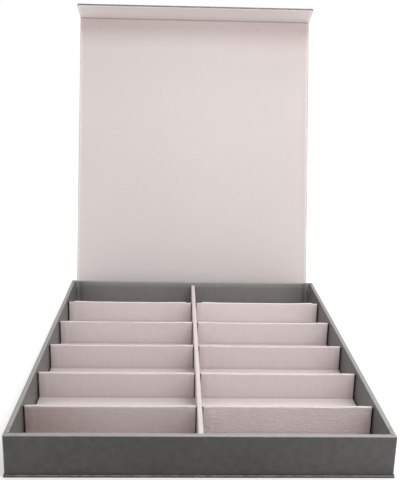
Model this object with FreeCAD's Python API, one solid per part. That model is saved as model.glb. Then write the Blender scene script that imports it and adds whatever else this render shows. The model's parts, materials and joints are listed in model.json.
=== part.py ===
import FreeCAD, Part
import math
import os

# Sunglasses display box, in millimetres. A shallow tray of leatherette over board holds a
# padded floor, a centre divider and cross partitions. A cover of four panels, base, spine,
# lid and flap, folds round it on hinges of plain leatherette. X runs to the right, Y to the
# back and Z up. The origin is the centre of the tray's plan, on the cover's underside.

# Tray
tray_width = 370.0
tray_depth = 447.0
tray_height = 41.5
wall_board_thickness = 4.0
tray_wrap_thickness = 0.5
tray_corner_radius = 1.2
rim_outer_radius = 1.1
rim_inner_radius = 0.8
tray_floor_thickness = 2.5

# Padded floor insert
insert_card_thickness = 1.2
insert_foam_thickness = 1.6
insert_lining_thickness = 0.7
insert_edge_radius = 1.0
insert_wall_clearance = 1.0

# Centre divider
divider_board_thickness = 3.6
divider_wrap_thickness = 0.8
divider_height = 31.4
divider_edge_radius = 1.5
divider_end_clearance = 0.5

# Cross partitions, in rows from the front to the back
partition_rows = 5
partition_pitch = 75.6
front_compartment_depth = 59.7
partition_board_thickness = 1.8
partition_wrap_thickness = 0.6
partition_height = 30.4
partition_edge_radius = 1.0
partition_wall_clearance = 1.6
partition_divider_clearance = 1.0

# Cover panels
cover_skin_thickness = 0.6
cover_board_thickness = 2.0
cover_lining_thickness = 0.4
cover_side_overhang = 0.9
cover_front_overhang = 1.0
cover_edge_radius = 0.5
closing_clearance = 0.3
flap_end_clearance = 0.5
hinge_bend_radius = 1.5

# How far the cover stands open
lid_lean_deg = 16.3
flap_rise_deg = 25.8

# Disc magnets in the front wall and in the flap
magnet_radius = 6.0
wall_magnet_thickness = 2.0
flap_magnet_thickness = 1.2
magnet_spacing = 230.0
magnet_height = 24.0
magnet_pocket_clearance = 0.15

# Heights of the tray and of what stands in it
base_thickness = cover_skin_thickness + cover_board_thickness
tray_bottom = base_thickness
rim_height = tray_bottom + tray_height
tray_floor_top = tray_bottom + tray_floor_thickness
card_top = tray_floor_top + insert_card_thickness
foam_top = card_top + insert_foam_thickness
floor_level = foam_top + insert_lining_thickness

# Plan of the tray, as half widths and half depths
half_width = tray_width / 2
half_depth = tray_depth / 2
wall_thickness = wall_board_thickness + 2 * tray_wrap_thickness
board_outer_inset = tray_wrap_thickness
board_inner_inset = tray_wrap_thickness + wall_board_thickness
inside_half_width = half_width - wall_thickness
inside_half_depth = half_depth - wall_thickness
insert_half_width = inside_half_width - insert_wall_clearance
insert_half_depth = inside_half_depth - insert_wall_clearance
divider_thickness = divider_board_thickness + 2 * divider_wrap_thickness
partition_thickness = partition_board_thickness + 2 * partition_wrap_thickness

# A panel's faces, measured square from the line at mid skin that its hinge turns on
outer_face = -cover_skin_thickness / 2
skin_face = cover_skin_thickness / 2
board_face = skin_face + cover_board_thickness
inner_face = board_face + cover_lining_thickness
hinge_setback = inner_face + closing_clearance
cover_width = tray_width + 2 * cover_side_overhang
lining_width = cover_width - 2 * cover_skin_thickness

# Distances between the hinge lines, so that the closed cover just clears the tray
pivot_height = cover_skin_thickness / 2
spine_length = rim_height + closing_clearance + inner_face - pivot_height
lid_length = tray_depth + 2 * hinge_setback
flap_length = pivot_height + spine_length - base_thickness - flap_end_clearance

# Hinge lines at rest, as Y and Z, and the direction of each panel above the +Y axis
base_pivot = (half_depth + hinge_setback, pivot_height)
lid_pivot = (base_pivot[0] + spine_length, pivot_height)
lid_direction = 90.0 - lid_lean_deg
flap_pivot = (
    lid_pivot[0] + lid_length * math.cos(math.radians(lid_direction)),
    lid_pivot[1] + lid_length * math.sin(math.radians(lid_direction)),
)
flap_direction = 180.0 - flap_rise_deg
lid_fold = lid_direction
flap_fold = flap_direction - lid_direction

X_AXIS = FreeCAD.Vector(1, 0, 0)
Y_AXIS = FreeCAD.Vector(0, 1, 0)


def block(x0, x1, y0, y1, z0, z1):
    """A box between two corners."""
    return Part.makeBox(x1 - x0, y1 - y0, z1 - z0, FreeCAD.Vector(x0, y0, z0))


def centred_block(half_x, half_y, z0, z1):
    """A box centred on the Z axis."""
    return block(-half_x, half_x, -half_y, half_y, z0, z1)


def edges_where(shape, test):
    """The edges whose bounding box passes a test."""
    return [edge for edge in shape.Edges if test(edge.BoundBox)]


def upright(box):
    """True for an edge that runs along Z."""
    return box.XLength < 1e-3 and box.YLength < 1e-3


def place(shape, pivot, direction):
    """Turn a panel drawn along +Y about its hinge line, and carry it to that line."""
    turned = shape.copy()
    turned.rotate(FreeCAD.Vector(0, 0, 0), X_AXIS, direction)
    turned.translate(FreeCAD.Vector(0, pivot[0], pivot[1]))
    return turned


def save(name, shape):
    """Write one sub-part, and stop if it isn't a valid solid."""
    if not shape.isValid() or len(shape.Solids) != 1:
        raise ValueError(name + " is not one valid solid")
    shape.Solids[0].exportStep("parts/" + name + ".step")


def tray_wrap():
    """One skin that runs up the outside of the walls, over the rim and down the inside."""
    body = centred_block(half_width, half_depth, tray_bottom, rim_height)
    body = body.makeFillet(tray_corner_radius, edges_where(body, upright))
    body = body.cut(centred_block(inside_half_width, inside_half_depth, tray_bottom, rim_height))

    def on_rim(box):
        return box.ZMin > rim_height - 1e-3

    def on_inner_rim(box):
        inside_x = max(-box.XMin, box.XMax) < inside_half_width + 1e-3
        inside_y = max(-box.YMin, box.YMax) < inside_half_depth + 1e-3
        return on_rim(box) and inside_x and inside_y

    def on_outer_rim(box):
        return on_rim(box) and not on_inner_rim(box)

    body = body.makeFillet(rim_outer_radius, edges_where(body, on_outer_rim))
    body = body.makeFillet(rim_inner_radius, edges_where(body, on_inner_rim))
    channel_top = rim_height - tray_wrap_thickness
    channel = centred_block(half_width - board_outer_inset, half_depth - board_outer_inset,
                            tray_bottom, channel_top)
    core = centred_block(half_width - board_inner_inset, half_depth - board_inner_inset,
                         tray_bottom, channel_top)
    floor_seat = centred_block(half_width - board_inner_inset, half_depth - board_inner_inset,
                               tray_bottom, tray_floor_top)
    return body.cut(channel.cut(core)).cut(floor_seat)


def front_or_back_board(side):
    """A wall board across the full width, at the front (side -1) or the back (side 1)."""
    near = side * (half_depth - board_inner_inset)
    far = side * (half_depth - board_outer_inset)
    reach = half_width - board_outer_inset
    top = rim_height - tray_wrap_thickness
    return block(-reach, reach, min(near, far), max(near, far), tray_bottom, top)


def side_board(side):
    """A wall board between the front and back ones, at the left (-1) or the right (1)."""
    near = side * (half_width - board_inner_inset)
    far = side * (half_width - board_outer_inset)
    reach = half_depth - board_inner_inset
    top = rim_height - tray_wrap_thickness
    return block(min(near, far), max(near, far), -reach, reach, tray_bottom, top)


def front_board():
    """The front wall board, with a round pocket behind the skin for each magnet."""
    board = front_or_back_board(-1)
    for side in (-1, 1):
        board = board.cut(wall_magnet(side, magnet_pocket_clearance))
    return board


def wall_magnet(side, extra=0.0):
    """A disc in the front wall board, flush with the board's outer face."""
    start = FreeCAD.Vector(side * magnet_spacing / 2, -half_depth + board_outer_inset, magnet_height)
    return Part.makeCylinder(magnet_radius + extra, wall_magnet_thickness, start, Y_AXIS)


def tray_floor_board():
    """The board between the four walls."""
    return centred_block(half_width - board_inner_inset, half_depth - board_inner_inset,
                         tray_bottom, tray_floor_top)


def insert_layer(z0, z1):
    """A flat layer of the floor insert, inside its lining."""
    return centred_block(insert_half_width - insert_lining_thickness,
                         insert_half_depth - insert_lining_thickness, z0, z1)


def floor_lining():
    """Leatherette over the foam, turned down round the edges of the insert."""
    body = centred_block(insert_half_width, insert_half_depth, tray_floor_top, floor_level)

    def above_bottom(box):
        return upright(box) or box.ZMin > floor_level - 1e-3

    body = body.makeFillet(insert_edge_radius, edges_where(body, above_bottom))
    return body.cut(insert_layer(tray_floor_top, foam_top))


def stand_up_wrap(x0, x1, y0, y1, top, wrap, radius):
    """A wrap over a standing board: rounded along the top and down the ends, open below."""
    body = block(x0, x1, y0, y1, floor_level, top)

    def above_bottom(box):
        return upright(box) or box.ZMin > top - 1e-3

    body = body.makeFillet(radius, edges_where(body, above_bottom))
    return body.cut(stand_up_board(x0, x1, y0, y1, top, wrap))


def stand_up_board(x0, x1, y0, y1, top, wrap):
    """The board inside such a wrap."""
    return block(x0 + wrap, x1 - wrap, y0 + wrap, y1 - wrap, floor_level, top - wrap)


def divider_box():
    """Limits of the divider, which runs from the front wall to the back one."""
    reach = inside_half_depth - divider_end_clearance
    return (-divider_thickness / 2, divider_thickness / 2, -reach, reach,
            floor_level + divider_height, divider_wrap_thickness)


def partition_box(side, row):
    """Limits of one cross partition, in the left (-1) or right (1) column."""
    near = side * (divider_thickness / 2 + partition_divider_clearance)
    far = side * (inside_half_width - partition_wall_clearance)
    front = -inside_half_depth + front_compartment_depth + row * partition_pitch
    return (min(near, far), max(near, far), front, front + partition_thickness,
            floor_level + partition_height, partition_wrap_thickness)


def base_cover():
    """The cover's skin under the base board, turned up round its front and sides."""
    half = cover_width / 2
    front = -half_depth - cover_front_overhang
    body = block(-half, half, front, half_depth, 0.0, base_thickness)

    def free_edge(box):
        standing = upright(box) and box.YMax < half_depth - 1e-3
        along_side = box.ZMax < 1e-3 and box.YLength > cover_width / 2
        along_front = box.ZMax < 1e-3 and box.YMax < front + 1e-3
        return standing or along_side or along_front

    body = body.makeFillet(cover_edge_radius, edges_where(body, free_edge))
    inside = half - cover_skin_thickness
    return body.cut(block(-inside, inside, front + cover_skin_thickness, half_depth,
                          cover_skin_thickness, base_thickness))


def base_board():
    """The board that the tray is glued on; its back edge leaves room for the hinge lining."""
    half = cover_width / 2 - cover_skin_thickness
    front = -half_depth - cover_front_overhang + cover_skin_thickness
    return block(-half, half, front, half_depth - cover_lining_thickness,
                 cover_skin_thickness, base_thickness)


def panel_cover(length, free_end):
    """A panel's skin along +Y, turned up round both sides and, on the flap, its free end."""
    half = cover_width / 2
    start = hinge_setback
    end = length if free_end else length - hinge_setback
    body = block(-half, half, start, end, outer_face, inner_face)

    def rounded(box):
        along_side = box.ZMax < outer_face + 1e-3 and box.XLength < 1e-3
        at_end = free_end and box.YMin > end - 1e-3 and (upright(box) or box.ZMax < outer_face + 1e-3)
        return along_side or at_end

    body = body.makeFillet(cover_edge_radius, edges_where(body, rounded))
    inside = half - cover_skin_thickness
    stop = end - cover_skin_thickness if free_end else end
    return body.cut(block(-inside, inside, start, stop, skin_face, inner_face))


def panel_lining(length, free_end):
    """A panel's lining, turned down over each edge that faces a hinge."""
    half = lining_width / 2
    start = hinge_setback
    end = length - cover_skin_thickness if free_end else length - hinge_setback
    body = block(-half, half, start, end, skin_face, inner_face)

    def turned_down(box):
        at_top = box.ZMin > inner_face - 1e-3 and box.YLength < 1e-3
        return at_top and (box.YMax < start + 1e-3 or not free_end)

    body = body.makeFillet(0.75 * cover_lining_thickness, edges_where(body, turned_down))
    return body.cut(block(-half, half, start + cover_lining_thickness,
                          end if free_end else end - cover_lining_thickness, skin_face, board_face))


def panel_board(length, free_end):
    """A panel's board, between the skin and the lining."""
    half = lining_width / 2
    start = hinge_setback + cover_lining_thickness
    end = length - cover_skin_thickness
    if not free_end:
        end = length - hinge_setback - cover_lining_thickness
    return block(-half, half, start, end, skin_face, board_face)


def flap_magnet(side, extra=0.0):
    """A disc in the flap board, which meets the wall's disc when the flap hangs down."""
    closed_pivot_height = pivot_height + spine_length
    start = FreeCAD.Vector(side * magnet_spacing / 2, closed_pivot_height - magnet_height,
                           board_face - flap_magnet_thickness)
    return Part.makeCylinder(magnet_radius + extra, flap_magnet_thickness, start)


def flap_board():
    """The flap's board, with a round pocket under the lining for each magnet."""
    board = panel_board(flap_length, True)
    for side in (-1, 1):
        board = board.cut(flap_magnet(side, magnet_pocket_clearance))
    return board


def bent_band(fold, low, high, width):
    """A strip bent about a hinge line by the fold, between two distances from mid skin."""
    angle = math.radians(fold)
    tangent = hinge_bend_radius * math.tan(angle / 2)
    half = width / 2

    def on_first_leg(along, height):
        return FreeCAD.Vector(-half, -along, height)

    def on_second_leg(along, height):
        return FreeCAD.Vector(-half, along * math.cos(angle) - height * math.sin(angle),
                              along * math.sin(angle) + height * math.cos(angle))

    def bend_middle(height):
        radius = hinge_bend_radius - height
        return FreeCAD.Vector(-half, -tangent + radius * math.sin(angle / 2),
                              hinge_bend_radius - radius * math.cos(angle / 2))

    def side(height):
        first = Part.LineSegment(on_first_leg(hinge_setback, height), on_first_leg(tangent, height))
        bend = Part.Arc(on_first_leg(tangent, height), bend_middle(height),
                        on_second_leg(tangent, height))
        second = Part.LineSegment(on_second_leg(tangent, height), on_second_leg(hinge_setback, height))
        return [first.toShape(), bend.toShape(), second.toShape()]

    start = Part.LineSegment(on_first_leg(hinge_setback, low), on_first_leg(hinge_setback, high))
    end = Part.LineSegment(on_second_leg(hinge_setback, low), on_second_leg(hinge_setback, high))
    outline = Part.Wire(Part.__sortEdges__(side(low) + side(high) + [start.toShape(), end.toShape()]))
    return Part.Face(outline).extrude(FreeCAD.Vector(width, 0, 0))


def base_hinge_strip():
    """The skin between the base and the spine, which lies flat on the table."""
    half = cover_width / 2
    return block(-half, half, -hinge_setback, hinge_setback, outer_face, skin_face)


def base_hinge_lining():
    """The lining in the groove behind the tray, turned up over the base board's edge."""
    half = lining_width / 2
    groove = block(-half, half, -hinge_setback, hinge_setback,
                   skin_face, skin_face + cover_lining_thickness)
    upstand = block(-half, half, -hinge_setback - cover_lining_thickness, -hinge_setback,
                    skin_face, board_face)
    return groove.fuse(upstand).removeSplitter()


def hinge_skin(fold):
    """The cover's skin across a folded hinge."""
    return bent_band(fold, outer_face, skin_face, cover_width)


def hinge_lining(fold):
    """The lining pressed down onto that skin."""
    return bent_band(fold, skin_face, skin_face + cover_lining_thickness, lining_width)


def save_tray():
    """The base, the tray on it and the insert."""
    save("base_cover", base_cover())
    save("base_board", base_board())
    save("tray_front_board", front_board())
    save("tray_back_board", front_or_back_board(1))
    save("tray_left_board", side_board(-1))
    save("tray_right_board", side_board(1))
    save("tray_wrap", tray_wrap())
    save("tray_floor_board", tray_floor_board())
    save("floor_card", insert_layer(tray_floor_top, card_top))
    save("floor_foam", insert_layer(card_top, foam_top))
    save("floor_lining", floor_lining())


def save_compartments():
    """The divider and the cross partitions, each a board in its wrap."""
    save("divider_board", stand_up_board(*divider_box()))
    save("divider_wrap", stand_up_wrap(*divider_box(), divider_edge_radius))
    for column, side in (("left", -1), ("right", 1)):
        for row in range(partition_rows):
            name = column + "_" + str(row + 1)
            limits = partition_box(side, row)
            save("partition_board_" + name, stand_up_board(*limits))
            save("partition_wrap_" + name, stand_up_wrap(*limits, partition_edge_radius))


def save_cover():
    """The spine, lid and flap at rest, and the hinges between them."""
    panels = (
        ("spine", spine_length, base_pivot, 0.0),
        ("lid", lid_length, lid_pivot, lid_direction),
        ("flap", flap_length, flap_pivot, flap_direction),
    )
    for name, length, pivot, direction in panels:
        free_end = name == "flap"
        board = flap_board() if free_end else panel_board(length, free_end)
        save(name + "_cover", place(panel_cover(length, free_end), pivot, direction))
        save(name + "_board", place(board, pivot, direction))
        save(name + "_lining", place(panel_lining(length, free_end), pivot, direction))
    save("base_hinge_skin", place(base_hinge_strip(), base_pivot, 0.0))
    save("base_hinge_lining", place(base_hinge_lining(), base_pivot, 0.0))
    save("lid_hinge_skin", place(hinge_skin(lid_fold), lid_pivot, 0.0))
    save("lid_hinge_lining", place(hinge_lining(lid_fold), lid_pivot, 0.0))
    save("flap_hinge_skin", place(hinge_skin(flap_fold), flap_pivot, lid_direction))
    save("flap_hinge_lining", place(hinge_lining(flap_fold), flap_pivot, lid_direction))


def save_magnets():
    """The discs that hold the closed flap to the front wall."""
    for name, side in (("left", -1), ("right", 1)):
        save("front_magnet_" + name, wall_magnet(side))
        save("flap_magnet_" + name, place(flap_magnet(side), flap_pivot, flap_direction))


os.makedirs("parts", exist_ok=True)
save_tray()
save_compartments()
save_cover()
save_magnets()
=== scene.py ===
import json
import math
import bmesh
import bpy
from mathutils import Euler, Matrix, Vector, noise


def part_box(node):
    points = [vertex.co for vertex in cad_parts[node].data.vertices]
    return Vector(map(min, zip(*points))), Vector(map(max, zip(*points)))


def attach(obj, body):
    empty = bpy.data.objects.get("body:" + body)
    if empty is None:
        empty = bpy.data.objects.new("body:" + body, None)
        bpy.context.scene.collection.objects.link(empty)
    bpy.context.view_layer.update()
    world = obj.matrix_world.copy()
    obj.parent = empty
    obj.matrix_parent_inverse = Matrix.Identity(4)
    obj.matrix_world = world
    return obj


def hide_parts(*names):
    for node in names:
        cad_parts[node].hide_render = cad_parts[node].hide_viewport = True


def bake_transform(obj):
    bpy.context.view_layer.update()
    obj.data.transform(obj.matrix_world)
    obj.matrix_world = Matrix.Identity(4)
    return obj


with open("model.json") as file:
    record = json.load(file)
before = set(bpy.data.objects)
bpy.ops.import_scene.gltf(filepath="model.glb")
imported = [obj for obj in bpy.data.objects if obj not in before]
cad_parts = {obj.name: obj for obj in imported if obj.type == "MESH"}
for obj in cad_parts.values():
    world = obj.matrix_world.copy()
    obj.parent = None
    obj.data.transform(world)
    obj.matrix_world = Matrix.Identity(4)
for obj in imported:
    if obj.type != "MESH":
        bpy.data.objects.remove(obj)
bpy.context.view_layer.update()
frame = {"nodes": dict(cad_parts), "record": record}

MM = 0.001

# How finely the meshes are made and shaded

line_step = 4.0 * MM
sheet_step = 12.0 * MM
worn_edge_angle = 0.4
fold_angle = 1.0
smooth_angle = math.radians(42)

# The tray's wrapping, with its painted light and painted shade as shares from 0 to 1

rim_outer_radius = 1.1 * MM
rim_inner_radius = 0.8 * MM
# Painted highlight on the rim; painted light on the inner walls, under the back rim and at the
# front wall's right end; painted shade in the back corners, across the front wall and at the foot
rim_painted_highlight = 0.85
inside_painted_light = 0.4
back_top_painted_light = 0.35
back_top_reach = 10.0 * MM
back_corner_painted_shade = 0.16
back_corner_reach = 45.0 * MM
front_right_painted_light = 0.03
front_painted_shade = 0.19
tray_foot_painted_shade = 0.5
tray_foot_reach = 7.0 * MM
corner_reach = 9.0 * MM
corner_top_reach = 8.0 * MM
# Painted shade along the inner corners
corner_fold_painted_shade = 0.5
corner_fold_width = 2.5 * MM
corner_line_step = 1.7 * MM
corner_line_count = 10
tray_line_step = 14.0 * MM
tray_first_line = 1.8 * MM
mitre_width = 0.5 * MM
mitre_depth = 0.25 * MM
overlap_from_side = 16.0 * MM
overlap_width = 14.0 * MM
overlap_sunk = 0.3 * MM
overlap_lift = 0.15 * MM
overlap_from_foot = 0.4 * MM
overlap_below_rim = 1.6 * MM
overlap_first_line = 0.8 * MM

# The padded floor

# Painted light: the padded floor made paler, as if lit from above
floor_painted_light = 0.45
pad_crown = 1.1 * MM
foam_crown = 0.8 * pad_crown
pad_edge_radius = 1.2 * MM
pad_line_step = 6.0 * MM

# The divider and the partitions, with a share for each row from the front

divider_radius = 1.5 * MM
divider_line_step = 9.0 * MM
divider_foot_flare = 0.4 * MM
partition_radius = 1.0 * MM
partition_line_step = 7.0 * MM
partition_foot_flare = 0.35 * MM
partition_bow = 0.35 * MM
partition_lean = 0.3 * MM
partition_end_rise = 0.7 * MM
partition_end_drop = 1.1 * MM
partition_sag = 0.3 * MM
# Painted shade and painted light on the partitions: darker towards the front rows and the left
# column, paler towards the back rows and the right column
partition_painted_shade = 0.25
partition_painted_light = 0.25
row_numbers = range(1, 6)
row_drop = (0.2, 0.2, 0.2, 0.2, 1.0)
row_painted_shade = (1.0, 0.1, 0.0, 0.0, 0.0)
row_painted_light = (0.0, 0.0, 0.0, 0.4, 1.0)
row_creases = (1.0, 0.3, 0.1, 0.1, 0.1)
column_painted_shade = {"left": 1.0, "right": 0.2}
column_painted_light = {"left": 0.9, "right": 1.5}
column_creases = {"left": 0.6, "right": 1.0}
# Painted shade at each wrap's foot and ends
wrap_foot_painted_shade = 0.35
wrap_foot_reach = 3.5 * MM
wrap_end_painted_shade = 0.25
wrap_end_reach = 2.5 * MM
turned_end_width = 9.0 * MM
turned_end_step = 0.5 * MM
turned_end_lift = 0.14 * MM
# Dark strips in the slots at the partitions' ends, standing for the shadow there: painted shadow
slot_shadow_overlap = 0.3 * MM
slot_shadow_clearance = 0.15 * MM
slot_shadow_from_wall = 0.85 * MM
slot_shadow_setback = 0.35 * MM
slot_shadow_drop = 1.0 * MM
slot_shadow_radius = 0.2 * MM

# The cover and its linings, with each panel's name, whether it ends the cover, and its seed

panels = (("spine", False, 6.5), ("lid", False, 3.9), ("flap", True, 5.2))
cover_edge_radius = 1.1 * MM
lining_fold_radius = 0.7 * MM
turn_in_width = 4.0 * MM
turn_in_slope = 0.8 * MM
turn_in_lift = 0.2 * MM
wear_reach = 1.5 * MM
base_edge_radius = 0.5 * MM
base_top_radius = 0.3 * MM
base_flange = 5.0 * MM
base_bead = 0.04 * MM
base_bead_gap = 0.17 * MM
# How much paler the skin's turned-up sides and the lining's borders are; on the base's top edge a
# share of it is painted highlight
edge_paleness = 0.5
border_paleness = 0.5
# Painted light on the flap's lining and the lid's lower part; painted shade towards the lid's
# right side, at each lining's foot and under the upper fold
flap_painted_light = 0.5
lid_foot_painted_light = 0.13
lid_right_painted_shade = 0.07
lining_foot_painted_shade = 0.15
under_flap_painted_shade = 0.5
skin_press = 0.14 * MM
skin_press_reach = 9.0 * MM

# The hinges

hinge_lead = 0.4 * MM
hinge_press = 0.35 * MM
crease_press = 0.15 * MM
# Painted shade along each hinge's fold and crease
fold_painted_shade = 0.5
crease_painted_shade = 0.1

# The studio and the camera

ambient_strength = 0.58
backdrop_strength = 1.0
window_strength = 0.8
window_softness = math.radians(60)
window_tilt = math.radians(65)
floor_radius = 14.0
floor_dim_place = (0.3, -0.5, 0.0)
floor_dim_reach = 0.35
floor_glow_reach = 1.4
camera_place = (-0.0248, -0.8122, 0.3968)
camera_pitch = math.radians(15.449)
camera_yaw = math.radians(-1.902)
camera_roll = math.radians(1.208)
camera_lens = 53.17
camera_sensor_width = 36.0


class Amount:
    """A varying amount in a finish, which the plain signs add to, scale and turn round."""

    def __init__(self, finish, socket):
        self.finish = finish
        self.socket = socket

    def _maths(self, operation, first, second):
        node = self.finish.node("Math", {"operation": operation}, {0: first, 1: second})
        return Amount(self.finish, node.outputs[0])

    def __add__(self, other):
        return self._maths("ADD", self, other)

    __radd__ = __add__

    def __sub__(self, other):
        return self._maths("SUBTRACT", self, other)

    def __rsub__(self, other):
        return self._maths("SUBTRACT", other, self)

    def __mul__(self, other):
        return self._maths("MULTIPLY", self, other)

    __rmul__ = __mul__

    def __pow__(self, other):
        return self._maths("POWER", self, other)


class Finish:
    """One material of the box, with the nodes that make its colour, gloss and relief."""

    def __init__(self, name):
        self.material = bpy.data.materials.new(name)
        self.material.use_nodes = True
        self.tree = self.material.node_tree
        self.tree.nodes.clear()
        self.shader = self.node("BsdfPrincipled")
        self.node("OutputMaterial", {}, {"Surface": self.shader.outputs["BSDF"]})
        self.place = self.node("TexCoord").outputs["Object"]

    def node(self, kind, settings=None, inputs=None):
        """A node of that kind, with its settings first and then what goes into its sockets."""
        node = self.tree.nodes.new("ShaderNode" + kind)
        for key, value in (settings or {}).items():
            setattr(node, key, value)
        for key, value in (inputs or {}).items():
            self.feed(node.inputs[key], value)
        return node

    def feed(self, socket, value):
        """Puts a number, a colour, an amount or another node's output into a socket."""
        if isinstance(value, Amount):
            value = value.socket
        if isinstance(value, bpy.types.NodeSocket):
            self.tree.links.new(value, socket)
        else:
            socket.default_value = value

    def drawn_out(self, across, along, up):
        """The place on the piece, with patterns drawn out that many times along each direction."""
        scale = (1 / across, 1 / along, 1 / up)
        return self.node("Mapping", {}, {"Vector": self.place, "Scale": scale}).outputs[0]

    def cloud(self, size, detail=2.0, place=None):
        """Soft clouds from 0 to 1 whose blots are about that size."""
        node = self.node("TexNoise", {}, {
            "Vector": place or self.place, "Scale": 1 / size, "Detail": detail})
        return Amount(self, node.outputs[0])

    def pebbles(self, size):
        """Rounded grains of that size, high in the middle and low between them."""
        node = self.node("TexVoronoi", {}, {"Vector": self.place, "Scale": 1 / size})
        return 1.0 - Amount(self, node.outputs["Distance"]) ** 1.5

    def between(self, amount, low, high):
        """0 below low, 1 above high and a soft step from one to the other."""
        node = self.node("MapRange", {"interpolation_type": "SMOOTHSTEP"}, {
            "Value": amount, "From Min": low, "From Max": high})
        return Amount(self, node.outputs[0])

    def noted(self, name):
        """An amount that the piece's mesh notes at each vertex, or 0 where it notes none."""
        node = self.node("Attribute", {"attribute_name": name})
        return Amount(self, node.outputs["Fac"])

    def mixed(self, share, first, second):
        """Two colours mixed by a share."""
        node = self.node("Mix", {"data_type": "RGBA"}, {0: share, 6: first, 7: second})
        return node.outputs[2]

    def relief(self, height, depth, under=None):
        """A raised surface of that depth, over another relief if one is given."""
        node = self.node("Bump", {}, {"Height": height, "Distance": depth, "Strength": 1.0})
        if under is not None:
            self.feed(node.inputs["Normal"], under)
        return node.outputs["Normal"]

    def set(self, **values):
        """Sets the shader's sockets, named with low lines for spaces."""
        for key, value in values.items():
            self.feed(self.shader.inputs[key.replace("_", " ")], value)


def tone(red, green, blue):
    """A colour given as it looks on a screen, from 0 to 255, for a colour socket."""
    linear = []
    for part in (red, green, blue):
        part = part / 255
        linear.append(part / 12.92 if part <= 0.04045 else ((part + 0.055) / 1.055) ** 2.4)
    return (*linear, 1.0)


def leatherette(name, tones, grain, depth, ripple, patch, mottle, roughness, scuffing):
    """Coated leatherette: pebbled, mottled and scuffed on its edges, paler where a piece notes it
    (mostly painted light) and darker by painted shade where a piece notes it.
    """
    dark, light, scuff_and_painted_light_tone, painted_dark = tones
    finish = Finish(name)
    blots = finish.between(finish.cloud(70 * MM, 4.0), 0.2, 0.8)
    patches = finish.between(finish.cloud(patch, 3.0), 0.32, 0.68)
    specks = finish.cloud(5 * MM, 3.0)
    grains = finish.pebbles(grain)
    wrinkles = finish.cloud(16 * MM, 1.0)
    pulls = finish.cloud(2.2 * MM, 2.0, finish.drawn_out(2.6, 1.6, 1.0))
    creases = finish.cloud(1.7 * MM, 2.0, finish.drawn_out(3.2, 1.0, 1.0))
    creased = finish.noted("creased")
    edge = finish.noted("edge")
    rubbed = finish.between(finish.cloud(7 * MM, 4.0) + edge * 0.35, 0.72, 0.92)
    mottling = blots * 0.3 + patches * 0.3 + specks * 0.15 + pulls * 0.25
    streaks = (creases - 0.5) * creased * 1.5
    waves = wrinkles + pulls * 2.5 + creases * creased * 6.0
    base = finish.mixed(0.5 + (mottling - 0.5) * mottle + streaks, dark, light)
    # Paler by the share a piece notes: painted light on most pieces, a plain paler tone on the
    # cover's turned sides and the lining's borders.
    pale_and_painted_light = finish.mixed(finish.noted("pale_and_painted_light") * (0.92 + specks * 0.16), base, scuff_and_painted_light_tone)
    worn = finish.mixed(rubbed * edge * scuffing, pale_and_painted_light, scuff_and_painted_light_tone)
    # The fourth tone is painted shade, mixed in by the share a piece notes.
    finish.set(
        Base_Color=finish.mixed(finish.noted("painted_shade") * (0.75 + specks * 0.5), worn, painted_dark),
        Roughness=roughness + (specks - 0.5) * 0.16 - grains * 0.06 + rubbed * 0.05,
        Normal=finish.relief(grains, depth, finish.relief(waves, ripple)),
        Specular_IOR_Level=0.5,
    )
    return finish.material


def greyboard(name):
    """Pressed board: warm grey pulp with darker and paler flecks and a felted face."""
    finish = Finish(name)
    pulp = finish.cloud(9 * MM, 5.0)
    flecks = finish.between(finish.cloud(1.6 * MM, 2.0), 0.62, 0.72)
    pale = finish.between(finish.cloud(2.4 * MM, 2.0), 0.66, 0.74)
    base = finish.mixed(pulp, tone(136, 127, 115), tone(163, 154, 141))
    darker = finish.mixed(flecks * 0.6, base, tone(84, 76, 68))
    finish.set(
        Base_Color=finish.mixed(pale * 0.5, darker, tone(196, 190, 178)),
        Roughness=0.86 + (pulp - 0.5) * 0.1,
        Normal=finish.relief(finish.cloud(0.8 * MM, 4.0), 0.08 * MM),
    )
    return finish.material


def soft_foam(name):
    """Open-celled foam: off-white, with small round pores."""
    finish = Finish(name)
    pores = finish.between(1.0 - finish.pebbles(1.1 * MM), 0.2, 0.55)
    shade = finish.cloud(20 * MM)
    walls = finish.mixed(shade, tone(226, 220, 206), tone(238, 234, 224))
    finish.set(
        Base_Color=finish.mixed(1.0 - pores, tone(176, 168, 152), walls),
        Roughness=0.9 - pores * 0.05,
        Normal=finish.relief(pores, 0.3 * MM),
    )
    return finish.material


def plated_steel(name):
    """Nickel-plated discs: brushed one way, with a few handling marks."""
    finish = Finish(name)
    lines = finish.cloud(0.25 * MM, 3.0, finish.drawn_out(16, 1, 1))
    marks = finish.between(finish.cloud(4 * MM, 3.0), 0.5, 0.75)
    finish.set(
        Base_Color=finish.mixed(lines, tone(186, 184, 178), tone(214, 212, 206)),
        Metallic=1.0,
        Roughness=0.24 + lines * 0.12 + marks * 0.12,
        Normal=finish.relief(lines, 0.01 * MM),
    )
    return finish.material


def painted_shadow_cloth(name):
    """A near-black cloth finish with a fine weave and a little lint, for the strips that stand for
    the shadow in the partitions' end slots: painted shadow.
    """
    finish = Finish(name)
    warp = finish.cloud(0.5 * MM, 1.0, finish.drawn_out(1, 1, 5))
    weft = finish.cloud(0.5 * MM, 1.0, finish.drawn_out(5, 5, 1))
    lint = finish.between(finish.cloud(2.5 * MM, 4.0), 0.62, 0.8)
    finish.set(
        Base_Color=finish.mixed(lint * 0.5, tone(24, 22, 22), tone(78, 72, 70)),
        Roughness=0.82 + (warp - 0.5) * 0.1,
        Normal=finish.relief(warp + weft, 0.08 * MM),
    )
    return finish.material


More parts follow.
